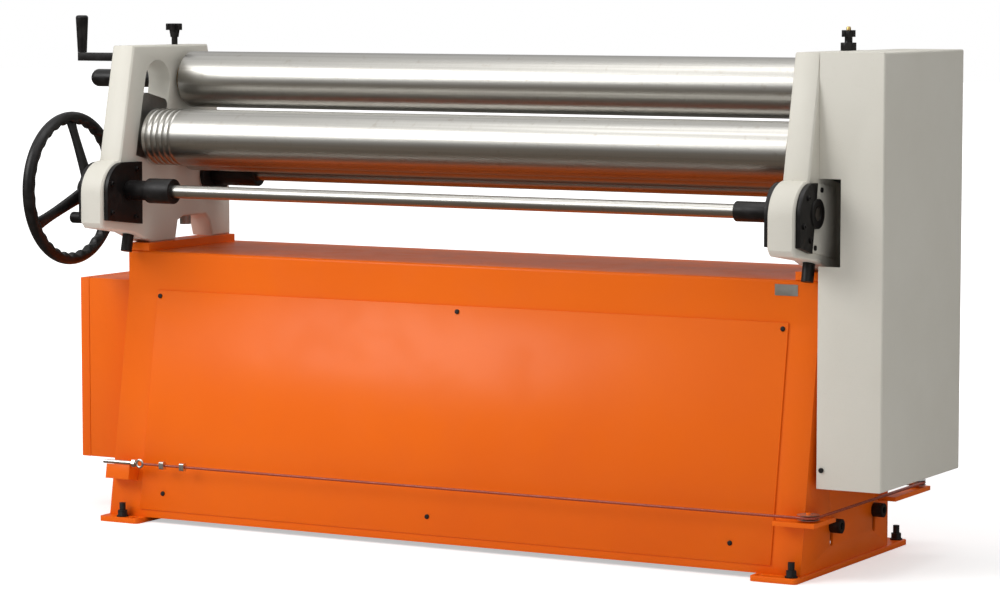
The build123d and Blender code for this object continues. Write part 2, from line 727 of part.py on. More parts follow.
collar_joint = COLLAR_LEFT[0] - COLLAR_END
front_collar_rows = (
    (-COLLAR_END, collar_joint, COLLAR_LEFT[1]),
    (collar_joint, collar_joint + COUPLING_LEFT[0], COUPLING_LEFT[1]),
    (COLLAR_END - COLLAR_RIGHT[0], COLLAR_END, COLLAR_RIGHT[1]),
)
with BuildPart() as front_shaft_collars:
    for x0, x1, radius in front_collar_rows:
        with BuildSketch(cross_plane(x0, CROSS_Y, CROSS_Z)):
            Circle(radius)
            Circle(SHAFT_R, mode=Mode.SUBTRACT)
        extrude(amount=x1 - x0)
save(front_shaft_collars, "front_shaft_collars")

with BuildPart() as rear_cross_shaft:
    with BuildSketch(cross_plane(-HOUSING_OUT - PLATE_T, REAR_Y, REAR_Z)):
        Circle(SHAFT_R)
    extrude(amount=2 * (HOUSING_OUT + PLATE_T))
save(rear_cross_shaft, "rear_cross_shaft")

with BuildPart() as rear_coupling:
    with BuildSketch(cross_plane(-COLLAR_END, REAR_Y, REAR_Z)):
        Circle(REAR_COUPLING_R)
        Circle(SHAFT_R, mode=Mode.SUBTRACT)
    extrude(amount=REAR_COUPLING_L)
save(rear_coupling, "rear_shaft_coupling")

for name, y, z, radius in (
    ("front_lift_gears", CROSS_Y, CROSS_Z, front_gear_r),
    ("rear_lift_gears", REAR_Y, REAR_Z, rear_gear_r),
):
    with BuildPart() as lift_gears:
        for sign in (-1, 1):
            with BuildSketch(cross_plane(sign * HOUSING_MID - GEAR_W / 2, y, z)):
                Circle(radius)
                Circle(SHAFT_R, mode=Mode.SUBTRACT)
            extrude(amount=GEAR_W)
    save(lift_gears, name)

# ---------------------------------------------------------------- handwheel, crank and knobs

wheel_section = Plane(origin=(0, CROSS_Y, CROSS_Z), x_dir=(0, 1, 0), z_dir=(0, 0, 1))

with BuildPart() as handwheel:
    with BuildSketch(wheel_section):
        with Locations((WHEEL_R, WHEEL_X)):
            Ellipse(RIM_RADIAL, RIM_AXIAL)
    revolve(axis=Axis((0, CROSS_Y, CROSS_Z), (1, 0, 0)))
    with BuildSketch(cross_plane(-WHEEL_HUB_OUT, CROSS_Y, CROSS_Z)):
        Circle(WHEEL_HUB_R)
    extrude(amount=WHEEL_HUB_OUT - WHEEL_HUB_IN)
    for spoke_angle in SPOKE_ANGLES:
        a = radians(spoke_angle)
        radial = (0, cos(a), sin(a))
        tangent = (0, -sin(a), cos(a))
        with BuildSketch(Plane(origin=(0, CROSS_Y, CROSS_Z), x_dir=radial, z_dir=tangent)):
            with BuildLine():
                Polyline(
                    (WHEEL_HUB_R - 5, WHEEL_HUB_IN + 16),
                    (WHEEL_HUB_R - 5, WHEEL_HUB_OUT - 4),
                    (WHEEL_R - 4, WHEEL_X + 7),
                    (WHEEL_R - 4, WHEEL_X - 7),
                    close=True,
                )
            make_face()
        extrude(amount=SPOKE_W / 2, both=True)
    with BuildSketch(cross_plane(-WHEEL_HUB_OUT, CROSS_Y, CROSS_Z)):
        Circle(SHAFT_R)
    extrude(amount=WHEEL_HUB_OUT - WHEEL_HUB_IN, mode=Mode.SUBTRACT)
save(handwheel, "handwheel")

with BuildPart() as lock_rod:
    with BuildSketch(cross_plane(-HOUSING_OUT - LOCK_LEN, LOCK_Y, LOCK_Z)):
        Circle(LOCK_R)
    extrude(amount=LOCK_LEN - PLATE_T)
    fillet(lock_rod.edges().sort_by(Axis.X)[0], 3)
save(lock_rod, "lock_rod")

with BuildPart() as crank_bracket:
    bracket_x = (CRANK_X + CRANK_PIN_R + CRANK_BRACKET_WALL + HOUSING_OUT) / 2
    with BuildSketch(Plane.XY.offset(CRANK_Z - CRANK_BRACKET_H - BLOCK_GAP)):
        with Locations((-bracket_x, CRANK_Y)):
            Rectangle(2 * (bracket_x - HOUSING_OUT), CRANK_BRACKET_W)
        with Locations((-CRANK_X, CRANK_Y)):
            Circle(CRANK_PIN_R + RUN_GAP, mode=Mode.SUBTRACT)
    extrude(amount=CRANK_BRACKET_H)
save(crank_bracket, "crank_bracket")

grip_x = -CRANK_X - CRANK_ARM
with BuildPart() as crank_arm:
    with BuildSketch(Plane.XY.offset(CRANK_Z)):
        with Locations((-CRANK_X - CRANK_ARM / 2, CRANK_Y)):
            SlotCenterToCenter(CRANK_ARM, CRANK_ARM_W)
    extrude(amount=CRANK_T)
    with BuildSketch(Plane.XY.offset(CRANK_Z)):
        with Locations((-CRANK_X, CRANK_Y)):
            Circle(CRANK_PIN_R)
    extrude(amount=-CRANK_BRACKET_H)
    with BuildSketch(Plane.XY.offset(CRANK_Z + CRANK_T)):
        with Locations((grip_x, CRANK_Y)):
            Circle(CRANK_GRIP_PIN)
    extrude(amount=CRANK_GRIP_H - 8)
save(crank_arm, "crank_arm")

with BuildPart() as crank_grip:
    with BuildSketch(Plane.XY.offset(CRANK_Z + CRANK_T + BLOCK_GAP)):
        with Locations((grip_x, CRANK_Y)):
            Circle(CRANK_GRIP_R0)
    with BuildSketch(Plane.XY.offset(CRANK_Z + CRANK_T + CRANK_GRIP_H)):
        with Locations((grip_x, CRANK_Y)):
            Circle(CRANK_GRIP_R1)
    loft()
    fillet(crank_grip.edges().filter_by(GeomType.CIRCLE).group_by(Axis.Z)[-1], 5)
    with BuildSketch(Plane.XY.offset(CRANK_Z + CRANK_T)):
        with Locations((grip_x, CRANK_Y)):
            Circle(CRANK_GRIP_PIN + RUN_GAP)
    extrude(amount=CRANK_GRIP_H - 7, mode=Mode.SUBTRACT)
save(crank_grip, "crank_grip")

stem_foot = HOUSING_TOP - KNOB_SEAT + BLOCK_GAP
with BuildPart() as star_knob:
    with BuildSketch(Plane.XY.offset(stem_foot)):
        with Locations((-HOUSING_MID, KNOB_Y)):
            Circle(KNOB_STEM_R)
    extrude(amount=HOUSING_TOP + KNOB_STEM - stem_foot)
    with BuildSketch(Plane.XY.offset(HOUSING_TOP + KNOB_STEM)):
        with Locations((-HOUSING_MID, KNOB_Y)):
            Circle(KNOB_HUB_R)
    extrude(amount=KNOB_HUB_H, taper=KNOB_HUB_TAPER)
    with BuildSketch(Plane.XY.offset(HOUSING_TOP + KNOB_STEM + KNOB_HUB_H)):
        with Locations((-HOUSING_MID, KNOB_Y)):
            Circle(KNOB_R - KNOB_LOBE_R + 1)
            with PolarLocations(KNOB_R - KNOB_LOBE_R, KNOB_LOBES):
                Circle(KNOB_LOBE_R)
    extrude(amount=KNOB_DISC_H)
    fillet(star_knob.faces().sort_by(Axis.Z)[-1].edges(), 1.5)
save(star_knob, "star_knob")

with BuildPart() as top_screw_knob:
    neck_top = HOUSING_TOP + KNOB_STEM + SCREW_NECK[1]
    head_top = neck_top + SCREW_HEAD[1]
    heights = (
        (stem_foot, HOUSING_TOP + BLOCK_GAP, KNOB_STEM_R),
        (HOUSING_TOP + BLOCK_GAP, HOUSING_TOP + KNOB_STEM, SCREW_KNOB_R),
        (HOUSING_TOP + KNOB_STEM, neck_top, SCREW_NECK[0]),
        (head_top, head_top + SCREW_TIP[1], SCREW_TIP[0]),
    )
    for z0, z1, radius in heights:
        with BuildSketch(Plane.XY.offset(z0)):
            with Locations((HOUSING_MID, KNOB_Y)):
                Circle(radius)
        extrude(amount=z1 - z0)
    with BuildSketch(Plane.XY.offset(neck_top)):
        with Locations((HOUSING_MID, KNOB_Y)):
            Circle(SCREW_HEAD[0])
            with PolarLocations(SCREW_HEAD[0] - 1, KNOB_LOBES + 1):
                Circle(SCREW_HEAD[0] - KNOB_LOBE_R)
    extrude(amount=SCREW_HEAD[1])
save(top_screw_knob, "top_screw_knob")

# ---------------------------------------------------------------- drive and gear cover

with BuildPart() as gearbox:
    with BuildSketch(cross_plane(GEARBOX_X, PINION_Y, TOP_Z)):
        RectangleRounded(2 * GEARBOX_HALF, 2 * GEARBOX_HALF, 8)
    extrude(amount=GEARBOX_W)
    with BuildSketch(cross_plane(GEARBOX_X, PINION_Y, TOP_Z)):
        Circle(PINION_SHAFT_R + RUN_GAP)
    extrude(amount=GEARBOX_W - 5, mode=Mode.SUBTRACT)
    with BuildSketch(Plane.XY.offset(MOTOR_TOP)):
        with Locations((GEARBOX_X + GEARBOX_W / 2, PINION_Y)):
            Circle(GEARBOX_W / 2)
    extrude(amount=TOP_Z - GEARBOX_HALF - MOTOR_TOP)
save(gearbox, "gearbox")

with BuildPart() as drive_motor:
    with BuildSketch(Plane.XY.offset(MOTOR_FOOT)):
        with Locations((MOTOR_X, PINION_Y)):
            Circle(MOTOR_R)
    extrude(amount=MOTOR_TOP - MOTOR_FOOT)
    fillet(drive_motor.edges().filter_by(GeomType.CIRCLE).group_by(Axis.Z)[0], 6)
save(drive_motor, "drive_motor")

with BuildPart() as motor_shelf:
    shelf_x = (HOUSING_OUT + MOTOR_X + MOTOR_R) / 2
    with Locations((shelf_x, PINION_Y, MOTOR_FOOT - SHELF_T / 2)):
        Box(MOTOR_X + MOTOR_R - HOUSING_OUT, 2 * SHELF_HALF, SHELF_T)
    with Locations((HOUSING_OUT + SHELF_T / 2, PINION_Y + 13, MOTOR_FOOT + SHELF_LEG / 2)):
        Box(SHELF_T, 2 * SHELF_HALF - 26, SHELF_LEG)
save(motor_shelf, "motor_shelf")

cover_x = (HOUSING_OUT + COVER_OUT) / 2
cover_y = (COVER_FRONT + COVER_REAR) / 2
cover_z = (COVER_BOTTOM + COVER_TOP) / 2
cover_w = COVER_OUT - HOUSING_OUT
cover_l = COVER_REAR - COVER_FRONT
cover_h = COVER_TOP - COVER_BOTTOM
back_top = HOUSING_BASE - COVER_SHEET

with BuildPart() as gear_cover:
    with Locations((cover_x, cover_y, cover_z)):
        Box(cover_w, cover_l, cover_h)
    fillet(gear_cover.faces().sort_by(Axis.X)[-1].edges(), 4)
    with Locations((cover_x - COVER_SHEET / 2, cover_y, cover_z)):
        Box(
            cover_w - COVER_SHEET,
            cover_l - 2 * COVER_SHEET,
            cover_h - 2 * COVER_SHEET,
            mode=Mode.SUBTRACT,
        )
    with Locations((HOUSING_OUT + COVER_SHEET / 2, cover_y, (COVER_BOTTOM + back_top) / 2)):
        Box(COVER_SHEET, cover_l, back_top - COVER_BOTTOM)
    strip_y = COVER_REAR - COVER_SHEET
    with BuildSketch(Plane.YZ.offset(HOUSING_OUT)):
        with BuildLine():
            Polyline(
                (HOUSING_REAR - 2, back_top),
                (strip_y, back_top),
                (strip_y, COVER_TOP - COVER_SHEET),
                (HOUSING_CREST - 3, COVER_TOP - COVER_SHEET),
                (HOUSING_REAR - 3, HOUSING_BASE + SHOULDER_H),
                close=True,
            )
        make_face()
    extrude(amount=COVER_SHEET)
    with Locations((HOUSING_OUT + NOTCH_W / 2, COVER_FRONT, HOUSING_BASE + (NOTCH_LOW + NOTCH_HIGH) / 2)):
        Box(NOTCH_W, 4 * COVER_SHEET, NOTCH_HIGH - NOTCH_LOW, mode=Mode.SUBTRACT)
save(gear_cover, "gear_cover")

with BuildPart() as cover_spacers:
    for y in (LIP_Y + 12, STAND_REAR - 12):
        with Locations(((STAND_HALF + HOUSING_OUT) / 2, y, (COVER_BOTTOM + LIP_Z) / 2)):
            Box(HOUSING_OUT - STAND_HALF, 20, LIP_Z - COVER_BOTTOM - 20)
save(cover_spacers, "cover_spacers")

# Slanted guard on the right housing's outer face, with a bite for the shaft's boss
guard_points = [(y, HOUSING_BASE + h) for y, h in GUARD_CORNERS]
with BuildPart() as guard_plate:
    with BuildSketch(Plane.YZ.offset(HOUSING_OUT)):
        with BuildLine():
            Polyline(*guard_points, close=True)
        make_face()
        with Locations((CROSS_Y, CROSS_Z)):
            Circle(BOSS_R + BLOCK_GAP, mode=Mode.SUBTRACT)
    extrude(amount=GUARD_T)
save(guard_plate, "guard_plate")

with BuildPart() as cover_screws:
    for y, h in GUARD_SCREWS:
        with BuildSketch(cross_plane(HOUSING_OUT + GUARD_T, y, HOUSING_BASE + h)):
            Circle(SMALL_SCREW_R)
        extrude(amount=SMALL_SCREW_H)
    with BuildSketch(Plane.XZ.offset(-COVER_FRONT)):
        with Locations((HOUSING_OUT + COVER_SCREW[0], COVER_BOTTOM + COVER_SCREW[1])):
            Circle(SMALL_SCREW_R)
    extrude(amount=SMALL_SCREW_H)
save(cover_screws, "cover_screws")

# ---------------------------------------------------------------- electrical cabinet

cab_y = (CAB_FRONT + CAB_REAR) / 2
cab_z = (CAB_BOTTOM + CAB_TOP) / 2
cab_l = CAB_REAR - CAB_FRONT
cab_h = CAB_TOP - CAB_BOTTOM
cab_w = CAB_OUT - STAND_HALF
hinge_x = HINGE_OUT - CAB_OUT

with BuildPart() as cabinet_body:
    with Locations((-(STAND_HALF + CAB_OUT) / 2, cab_y, cab_z)):
        Box(cab_w, cab_l, cab_h)
    with Locations((-(STAND_HALF + CAB_OUT + CAB_SHEET) / 2, cab_y, cab_z)):
        Box(cab_w - CAB_SHEET, cab_l - 2 * CAB_SHEET, cab_h - 2 * CAB_SHEET, mode=Mode.SUBTRACT)
save(cabinet_body, "cabinet_body")

with BuildPart() as cabinet_door:
    with Locations((-CAB_OUT - (DOOR_T + DOOR_GAP) / 2, cab_y, cab_z)):
        Box(DOOR_T - DOOR_GAP, cab_l, cab_h)
    fillet(cabinet_door.faces().sort_by(Axis.X)[0].edges(), 3)
    with Locations((-CAB_OUT - DOOR_T / 2 + CAB_SHEET, cab_y, cab_z)):
        Box(DOOR_T, cab_l - 2 * CAB_SHEET, cab_h - 2 * CAB_SHEET, mode=Mode.SUBTRACT)
    for z in HINGE_ZS:
        with Locations((-CAB_OUT - 9, CAB_REAR + 4.5, z)):
            Box(8, 13, 2 * HINGE_LUG_H)
        with Locations((hinge_x - 9, HINGE_Y, z)):
            Box(18, 2 * HINGE_LUG_R - 1, 2 * HINGE_LUG_H)
        with Locations((hinge_x, HINGE_Y, z)):
            Cylinder(HINGE_LUG_R - 0.5, 2 * HINGE_LUG_H)
            Cylinder(HINGE_PIN_R + RUN_GAP, 2 * HINGE_LUG_H, mode=Mode.SUBTRACT)
    with BuildSketch(cross_plane(-CAB_OUT - DOOR_T, CAB_FRONT + 22, cab_z)):
        Circle(DOOR_LOCK_R)
    extrude(amount=-6)
save(cabinet_door, "cabinet_door")

with BuildPart() as cabinet_hinges:
    for z in HINGE_ZS:
        with Locations((hinge_x, HINGE_Y, z)):
            Cylinder(HINGE_PIN_R, 2 * HINGE_LUG_H + 2 * HINGE_EAR + 2 * BLOCK_GAP)
        for way in (-1, 1):
            ear_z = z + way * (HINGE_LUG_H + BLOCK_GAP + HINGE_EAR / 2)
            with Locations((hinge_x, CAB_REAR + 5.5, ear_z)):
                Box(11, 11, HINGE_EAR)
save(cabinet_hinges, "cabinet_hinges")

with BuildPart() as slot_bolts:
    for y, z in SLOT_BOLTS:
        with BuildSketch(cross_plane(STAND_HALF, y, z)):
            Circle(SLOT_BOLT_R)
            RegularPolygon(7, 6, mode=Mode.SUBTRACT)
        extrude(amount=SLOT_BOLT_L)
        with BuildSketch(cross_plane(STAND_HALF, y, z)):
            Circle(SLOT_BOLT_R - 1)
        extrude(amount=SLOT_BOLT_L - 8)
save(slot_bolts, "slot_bolts")

with BuildPart() as blank_plate:
    with Locations((STAND_HALF - BLANK_INSET, LIP_Y - 0.5, STAND_TOP - BEND_R - 12)):
        Box(44, 1, 20)
save(blank_plate, "blank_plate")

# ---------------------------------------------------------------- trip rope

pulley_x = ROPE_X - ROPE_WRAP
front_pulley_y = ROPE_Y + ROPE_WRAP
rear_pulley_y = ROPE_REAR - ROPE_WRAP
bracket_top = ROPE_Z - PULLEY_T / 2 - 4

with BuildPart() as trip_rope:
    with BuildLine() as rope_route:
        FilletPolyline(
            (EYE_X + EYE_R + ROPE_R, ROPE_Y, ROPE_Z),
            (ROPE_X, ROPE_Y, ROPE_Z),
            (ROPE_X, ROPE_REAR, ROPE_Z),
            (SWITCH_X, ROPE_REAR, ROPE_Z),
            radius=ROPE_WRAP,
        )
    with BuildSketch(cross_plane(EYE_X + EYE_R + ROPE_R, ROPE_Y, ROPE_Z)):
        Circle(ROPE_R)
    sweep(path=rope_route.wire())
save(trip_rope, "trip_rope")
print("rope length", round(rope_route.wire().length), "mm, radii", ROPE_WRAP)

with BuildPart() as rope_fittings:
    with BuildSketch(cross_plane(EYE_X - EYE_SHANK, ROPE_Y, ROPE_Z)):
        Circle(4)
    extrude(amount=EYE_SHANK - EYE_R)
    with Locations(Location((EYE_X, ROPE_Y, ROPE_Z), (90, 0, 0))):
        Torus(EYE_R, ROPE_R)
    with BuildSketch(cross_plane(EYE_X - EYE_NUT_GAP, ROPE_Y, ROPE_Z)):
        RegularPolygon(8, 6)
    extrude(amount=7)
    for gap in CLIP_GAPS:
        with BuildSketch(cross_plane(EYE_X + gap, ROPE_Y, ROPE_Z)):
            RectangleRounded(11, 15, 3)
            Circle(ROPE_R, mode=Mode.SUBTRACT)
        extrude(amount=10)
save(rope_fittings, "rope_fittings")

bracket_out = ROPE_X + 4
bracket_drop = LIP_Z - bracket_top + BRACKET_T / 2
with BuildPart() as rope_brackets:
    with BuildSketch(front_plane):
        left_x = BRACKET_LEFT_INSET - STAND_HALF + BRACKET_LEFT_W / 2
        with Locations((left_x, (ROPE_Z - LIP_Z) / slope_c - BRACKET_LEFT_DROP)):
            Rectangle(BRACKET_LEFT_W, BRACKET_LEFT_H)
    extrude(amount=BRACKET_LEFT_T)
    shelf_y = LIP_Y - bracket_drop * lip_run / lip_drop
    with BuildSketch(Plane.XY.offset(bracket_top - BRACKET_T)):
        with BuildLine():
            Polyline(
                (STAND_HALF - BRACKET_RIGHT_W, ROPE_Y - 6),
                (bracket_out, ROPE_Y - 6),
                (bracket_out, LIP_Y),
                (STAND_HALF, LIP_Y),
                (STAND_HALF, shelf_y - 2),
                (STAND_HALF - BRACKET_RIGHT_W, shelf_y - 2),
                close=True,
            )
        make_face()
    extrude(amount=BRACKET_T)
    with BuildSketch(Plane.XY.offset(bracket_top - BRACKET_T)):
        rear_y = ROPE_REAR + 6
        with Locations(((STAND_HALF + bracket_out) / 2, (BRACKET_REAR_Y + rear_y) / 2)):
            Rectangle(bracket_out - STAND_HALF, rear_y - BRACKET_REAR_Y)
        with Locations((SWITCH_X - SWITCH_L / 2 + 5, (STAND_REAR + rear_y + 4) / 2)):
            Rectangle(SWITCH_L - 20, rear_y + 4 - STAND_REAR)
    extrude(amount=BRACKET_T)
    for y in (front_pulley_y, rear_pulley_y):
        with BuildSketch(Plane.XY.offset(bracket_top)):
            with Locations((pulley_x, y)):
                Circle(PULLEY_PIN_R)
        extrude(amount=PULLEY_T + 7)
        with BuildSketch(Plane.XY.offset(bracket_top)):
            with Locations((pulley_x, y)):
                Circle(PULLEY_PIN_R + 4)
        extrude(amount=4 - BLOCK_GAP)
save(rope_brackets, "rope_brackets")

with BuildPart() as trip_switch:
    with Locations((SWITCH_X - SWITCH_L / 2, ROPE_REAR, bracket_top + SWITCH_H / 2)):
        Box(SWITCH_L, SWITCH_W, SWITCH_H)
    fillet(trip_switch.edges().filter_by(Axis.Z), 4)
save(trip_switch, "trip_switch")

for name, y in (("front_pulley", front_pulley_y), ("rear_pulley", rear_pulley_y)):
    with BuildPart() as pulley:
        section = Plane(origin=(pulley_x, y, ROPE_Z), x_dir=(1, 0, 0), z_dir=(0, -1, 0))
        with BuildSketch(section):
            with BuildLine():
                Polyline(
                    (PULLEY_PIN_R + RUN_GAP, -PULLEY_T / 2),
                    (PULLEY_R, -PULLEY_T / 2),
                    (PULLEY_R, -ROPE_R - 1.5),
                    (PULLEY_GROOVE, -ROPE_R - 0.3),
                    (PULLEY_GROOVE, ROPE_R + 0.3),
                    (PULLEY_R, ROPE_R + 1.5),
                    (PULLEY_R, PULLEY_T / 2),
                    (PULLEY_PIN_R + RUN_GAP, PULLEY_T / 2),
                    close=True,
                )
            make_face()
        revolve(axis=Axis((pulley_x, y, 0), (0, 0, 1)))
    save(pulley, name)
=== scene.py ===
"""Scene of a slip roll machine: finishes, detail, floor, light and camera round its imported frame."""

import json
import math

import bmesh
import bpy
import numpy as np
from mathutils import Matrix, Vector


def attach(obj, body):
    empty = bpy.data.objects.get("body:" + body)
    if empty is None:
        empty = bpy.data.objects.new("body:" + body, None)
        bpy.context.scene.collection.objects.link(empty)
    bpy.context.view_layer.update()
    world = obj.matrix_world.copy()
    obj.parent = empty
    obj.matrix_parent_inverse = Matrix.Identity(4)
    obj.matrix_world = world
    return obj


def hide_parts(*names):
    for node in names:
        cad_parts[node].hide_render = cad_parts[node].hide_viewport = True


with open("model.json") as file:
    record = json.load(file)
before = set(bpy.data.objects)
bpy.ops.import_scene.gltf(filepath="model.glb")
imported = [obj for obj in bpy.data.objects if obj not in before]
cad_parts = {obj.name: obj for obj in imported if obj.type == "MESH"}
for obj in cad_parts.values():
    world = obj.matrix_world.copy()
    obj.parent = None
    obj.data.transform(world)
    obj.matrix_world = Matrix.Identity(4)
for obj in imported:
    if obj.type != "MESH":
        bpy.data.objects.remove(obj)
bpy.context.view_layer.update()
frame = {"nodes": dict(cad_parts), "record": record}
nodes = frame["nodes"]
body_of_node = {node: body for body, members in frame["record"]["behaviour"]["bodies"].items()
                for node in members}
slot_of_node = {row["node"]: row["material_slot"] for row in frame["record"]["subparts"]}

MM = 0.001

# ---------------------------------------------------------------- camera, in the photograph's place

PHOTO_WIDTH_PX = 1000
FOCAL_PX = 3398
SENSOR = 36.0

# Metres, and radians to the left and down
CAMERA_PLACE = (3.1307, -5.5798, 1.027)
CAMERA_TURN = math.radians(29.2)
CAMERA_DOWN = math.radians(5.21)


def set_camera():
    """A long lens at the photograph's place, turned to the left and tilted down a little."""
    data = bpy.data.cameras.new("camera")
    data.sensor_width = SENSOR
    data.lens = FOCAL_PX / PHOTO_WIDTH_PX * SENSOR
    camera = bpy.data.objects.new("camera", data)
    bpy.context.scene.collection.objects.link(camera)
    camera.location = CAMERA_PLACE
    level = math.cos(CAMERA_DOWN)
    forward = Vector((-math.sin(CAMERA_TURN) * level, math.cos(CAMERA_TURN) * level,
                      -math.sin(CAMERA_DOWN)))
    camera.rotation_mode = "QUATERNION"
    camera.rotation_quaternion = forward.to_track_quat("-Z", "Y")
    bpy.context.scene.camera = camera


# ---------------------------------------------------------------- shader maths


class Wire:
    """A shader socket that takes Python's operators; each one adds a Math node."""

    def __init__(self, tree, socket):
        self.tree = tree
        self.socket = socket

    def math(self, operation, *others):
        return self.tree.node("ShaderNodeMath", {"operation": operation}, self, *others)

    def __add__(self, other):
        return self.math("ADD", other)

    def __mul__(self, other):
        return self.math("MULTIPLY", other)

    def __sub__(self, other):
        return self.math("SUBTRACT", other)

    def clamp(self):
        return self.math("MAXIMUM", 0.0).math("MINIMUM", 1.0)


class Finish:
    """A material with one Principled shader, and helpers that add nodes to it."""

    def __init__(self, name, **numbers):
        self.material = bpy.data.materials.new(name)
        self.material.use_nodes = True
        self.tree = self.material.node_tree
        self.shader = next(n for n in self.tree.nodes if n.type == "BSDF_PRINCIPLED")
        for socket, value in numbers.items():
            self.shader.inputs[socket.replace("_", " ")].default_value = value
        place = self.tree.nodes.new("ShaderNodeTexCoord")
        self.place = Wire(self, place.outputs["Object"])

    def node(self, kind, settings, *values, output=0):
        """Adds a node: its settings first, then its inputs in order; None leaves an input alone."""
        made = self.tree.nodes.new(kind)
        for key, value in settings.items():
            if key == "stops":
                self.set_stops(made.color_ramp, value)
            else:
                setattr(made, key, value)
        open_inputs = [s for s in made.inputs if s.enabled]
        for socket, value in zip(open_inputs, values):
            if isinstance(value, Wire):
                self.tree.links.new(value.socket, socket)
            elif value is not None:
                socket.default_value = value
        open_outputs = [s for s in made.outputs if s.enabled]
        return Wire(self, open_outputs[output])

    @staticmethod
    def set_stops(ramp, stops):
        while len(ramp.elements) < len(stops):
            ramp.elements.new(1.0)
        for element, (position, grey) in zip(ramp.elements, stops):
            element.position = position
            element.color = (grey, grey, grey, 1.0)

    def stretched(self, x, y, z):
        """The place on the piece with each axis scaled."""
        return self.node("ShaderNodeMapping", {}, self.place, None, None, (x, y, z))

    def noise(self, scale, detail, place=None):
        """Noise from 0 to 1, its scale in waves per metre."""
        return self.node("ShaderNodeTexNoise", {}, place or self.place, scale, detail)

    def ramp(self, value, *stops):
        return self.node("ShaderNodeValToRGB", {"stops": stops}, value)

    def mix(self, share, first, second):
        return self.node("ShaderNodeMix", {"data_type": "RGBA"}, share, first, second)

    def bump(self, height, strength, distance):
        return self.node("ShaderNodeBump", {}, strength, distance, None, height)

    def feed(self, **sockets):
        for name, wire in sockets.items():
            self.tree.links.new(wire.socket, self.shader.inputs[name.replace("_", " ")])
        return self.material


def rgb(red, green, blue):
    return (red, green, blue, 1.0)


def gloss_paint(name, colour, deep):
    """Sprayed gloss paint: slow colour drift, orange peel and faint rub marks."""
    roughness, peel = 0.3, 0.12
    finish = Finish(name, Coat_Weight=0.05, Coat_Roughness=0.2, Specular_IOR_Level=0.16)
    drift = finish.ramp(finish.noise(3.0, 2.0), (0.35, 0.0), (0.7, 1.0))
    smear = finish.ramp(finish.noise(14.0, 6.0), (0.45, 0.0), (0.75, 1.0))
    colours = finish.mix(drift * 0.55 + smear * 0.12, colour, deep)
    rough = drift * 0.06 + smear * 0.12 + roughness
    grain = finish.noise(330.0, 2.0)
    sag = finish.noise(9.0, 1.0)
    normal = finish.bump(grain * 0.25 + sag * 2.0, peel, 0.0012)
    return finish.feed(Base_Color=colours, Roughness=rough, Normal=normal)


def textured_paint(name, colour, deep):
    """Powder-textured paint over casting: fine pebbles, slow casting waves and grubby patches."""
    pebble_waves, strength, roughness = 420.0, 0.35, 0.42
    finish = Finish(name, Specular_IOR_Level=0.25)
    patches = finish.ramp(finish.noise(5.0, 5.0), (0.4, 0.0), (0.75, 1.0))
    specks = finish.ramp(finish.noise(260.0, 2.0), (0.62, 0.0), (0.72, 1.0))
    colours = finish.mix(patches * 0.5 + specks * 0.18, colour, deep)
    pebbles = finish.noise(pebble_waves, 2.0)
    waves = finish.noise(26.0, 2.0)
    normal = finish.bump(pebbles * 0.5 + waves * 1.2, strength, 0.0009)
    rough = patches * 0.12 + roughness
    return finish.feed(Base_Color=colours, Roughness=rough, Normal=normal)


def ground_steel(name, colour, deep, rust):
    """Ground bar: fine rings round the X axis, small tea stains, and thin darker streaks along it that
    are painted reflection, standing in for the light lines reflected along the rolls.
    """
    roughness = 0.28
    finish = Finish(name, Metallic=1.0)
    rings = finish.noise(1.0, 4.0, finish.stretched(900.0, 4.0, 4.0))
    # Painted reflection: darker streaks along the roll stand in for reflected light lines; they also
    # vary the roughness
    painted_reflection_streaks = finish.ramp(finish.noise(1.0, 5.0, finish.stretched(0.9, 190.0, 190.0)),
                        (0.40, 0.0), (0.72, 1.0))
    stains = finish.ramp(finish.noise(60.0, 7.0), (0.62, 0.0), (0.74, 1.0))
    steel = finish.mix((painted_reflection_streaks * 0.45 + rings * 0.2).clamp(), colour, deep)
    colours = finish.mix(stains * 0.25, steel, rust)
    rough = rings * 0.08 + painted_reflection_streaks * 0.08 + roughness
    normal = finish.bump(rings, 0.06, 0.0004)
    return finish.feed(Base_Color=colours, Roughness=rough, Normal=normal)


def metal(name, colour, deep, roughness=0.35):
    """Machined or plated metal: faint cutter marks and duller patches."""
    cutter_waves = 240.0
    finish = Finish(name, Metallic=1.0)
    patches = finish.ramp(finish.noise(40.0, 5.0), (0.4, 0.0), (0.7, 1.0))
    cuts = finish.noise(cutter_waves, 4.0)
    colours = finish.mix(patches * 0.6, colour, deep)
    rough = patches * 0.14 + cuts * 0.1 + roughness - 0.05
    normal = finish.bump(cuts, 0.15, 0.0003)
    return finish.feed(Base_Color=colours, Roughness=rough, Normal=normal)


def black_oxide(name, colour, roughness):
    """Blackened steel: near-black with a dusty sheen on its broad patches."""
    finish = Finish(name, Specular_IOR_Level=0.3)
    dust = finish.ramp(finish.noise(60.0, 5.0), (0.45, 0.0), (0.75, 1.0))
    colours = finish.mix(dust * 0.25, colour, rgb(0.04, 0.036, 0.034))
    rough = dust * 0.2 + roughness
    normal = finish.bump(finish.noise(700.0, 2.0), 0.2, 0.0003)
    return finish.feed(Base_Color=colours, Roughness=rough, Normal=normal)


def sleeved_rope(name):
    """Wire rope in a clear red sleeve: slanted lay lines along it."""
    finish = Finish(name, Coat_Weight=0.4, Coat_Roughness=0.2)
    lay = finish.ramp(finish.noise(1.0, 2.0, finish.stretched(420.0, 420.0, 900.0)),
                      (0.45, 0.0), (0.6, 1.0))
    colours = finish.mix(lay * 0.7, rgb(0.42, 0.05, 0.012), rgb(0.16, 0.02, 0.008))
    normal = finish.bump(lay, 0.5, 0.0006)
    return finish.feed(Base_Color=colours, Roughness=lay * 0.2 + 0.35, Normal=normal)


